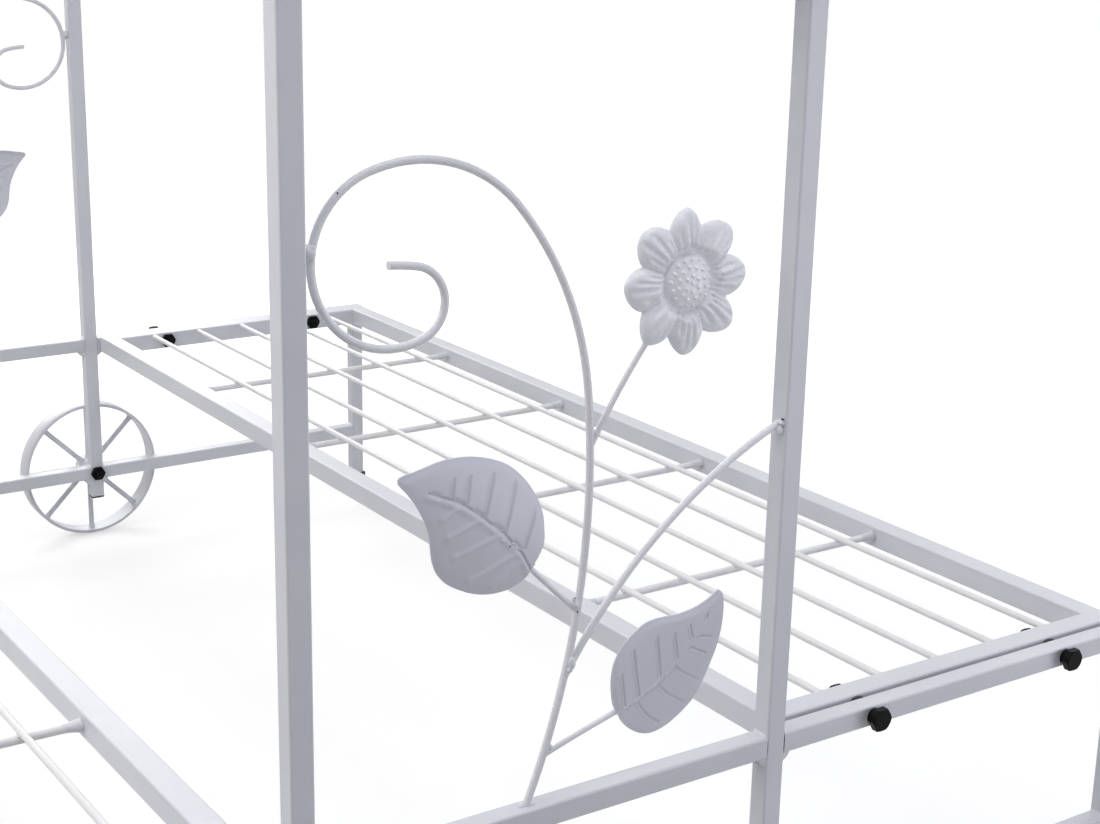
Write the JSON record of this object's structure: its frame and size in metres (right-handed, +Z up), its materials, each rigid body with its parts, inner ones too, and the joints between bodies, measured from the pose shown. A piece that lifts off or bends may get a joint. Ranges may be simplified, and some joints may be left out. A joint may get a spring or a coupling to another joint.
{
  "type": "flower cart stand",
  "caption": "Cart-shaped plant stand: welded tube end frames with arched handles, spoked wheels and wire flower ornament carry a tall middle shelf and a low wire shelf on each side.",
  "frame": {"origin": "on the floor under the middle of the stand", "axes": "+Z up; +Y along the shelves, from the front end frame to the rear one; +X across the end frames, towards the right low shelf"},
  "size_m": [0.9172, 1.1268, 0.8535],
  "materials": {
    "white_powder_coat": "semi-gloss powder coat",
    "black_steel": "satin black oxide",
    "black_plastic": "matt moulded",
    "zinc_steel": "zinc plated"
  },
  "bodies": {
    "stand": {"front_post_left": "white_powder_coat", "front_post_right": "white_powder_coat", "front_arch": "white_powder_coat", "front_leg_left": "white_powder_coat", "front_leg_right": "white_powder_coat", "front_shelf_rails": "white_powder_coat", "front_stretcher_rails": "white_powder_coat", "front_top_rail": "white_powder_coat", "front_scroll_wire": "white_powder_coat", "front_vine_branches": "white_powder_coat", "front_flower": "white_powder_coat", "front_upper_leaf": "white_powder_coat", "front_lower_leaf": "white_powder_coat", "rear_post_left": "white_powder_coat", "rear_post_right": "white_powder_coat", "rear_arch": "white_powder_coat", "rear_leg_left": "white_powder_coat", "rear_leg_right": "white_powder_coat", "rear_shelf_rails": "white_powder_coat", "rear_stretcher_rails": "white_powder_coat", "rear_top_rail": "white_powder_coat", "rear_scroll_wire": "white_powder_coat", "rear_vine_branches": "white_powder_coat", "rear_flower": "white_powder_coat", "rear_upper_leaf": "white_powder_coat", "rear_lower_leaf": "white_powder_coat", "right_shelf_inner_rail": "white_powder_coat", "right_shelf_outer_rail": "white_powder_coat", "right_shelf_front_rail": "white_powder_coat", "right_shelf_rear_rail": "white_powder_coat", "right_shelf_wires": "white_powder_coat", "left_shelf_outer_rail": "white_powder_coat", "left_shelf_inner_rail": "white_powder_coat", "left_shelf_front_rail": "white_powder_coat", "left_shelf_rear_rail": "white_powder_coat", "left_shelf_wires": "white_powder_coat", "top_shelf_left_rail": "white_powder_coat", "top_shelf_right_rail": "white_powder_coat", "top_shelf_front_rail": "white_powder_coat", "top_shelf_rear_rail": "white_powder_coat", "top_shelf_wires": "white_powder_coat", "shelf_bolts": "black_steel", "shelf_nuts": "black_steel", "axle_bolts": "black_steel", "axle_nuts": "black_steel", "shelf_spacers": "black_plastic", "post_plugs": "black_plastic", "arch_sleeves": "zinc_steel", "foot_front_left": "black_plastic", "foot_front_right": "black_plastic", "foot_rear_left": "black_plastic", "foot_rear_right": "black_plastic"},
    "front_left_wheel": {"wheel_front_left": "white_powder_coat", "hub_front_left": "white_powder_coat"},
    "front_right_wheel": {"wheel_front_right": "white_powder_coat", "hub_front_right": "white_powder_coat"},
    "rear_left_wheel": {"wheel_rear_left": "white_powder_coat", "hub_rear_left": "white_powder_coat"},
    "rear_right_wheel": {"wheel_rear_right": "white_powder_coat", "hub_rear_right": "white_powder_coat"}
  },
  "joints": [
    {"name": "front_left_wheel_spin", "type": "hinge", "parent": "stand", "child": "front_left_wheel", "pos_m": [-0.14715, -0.5456, 0.07135], "axis": [0, 1, 0], "continuous": true},
    {"name": "front_right_wheel_spin", "type": "hinge", "parent": "stand", "child": "front_right_wheel", "pos_m": [0.14715, -0.5456, 0.07135], "axis": [0, 1, 0], "continuous": true},
    {"name": "rear_left_wheel_spin", "type": "hinge", "parent": "stand", "child": "rear_left_wheel", "pos_m": [-0.14715, 0.5456, 0.07135], "axis": [0, 1, 0], "continuous": true},
    {"name": "rear_right_wheel_spin", "type": "hinge", "parent": "stand", "child": "rear_right_wheel", "pos_m": [0.14715, 0.5456, 0.07135], "axis": [0, 1, 0], "continuous": true}
  ]
}
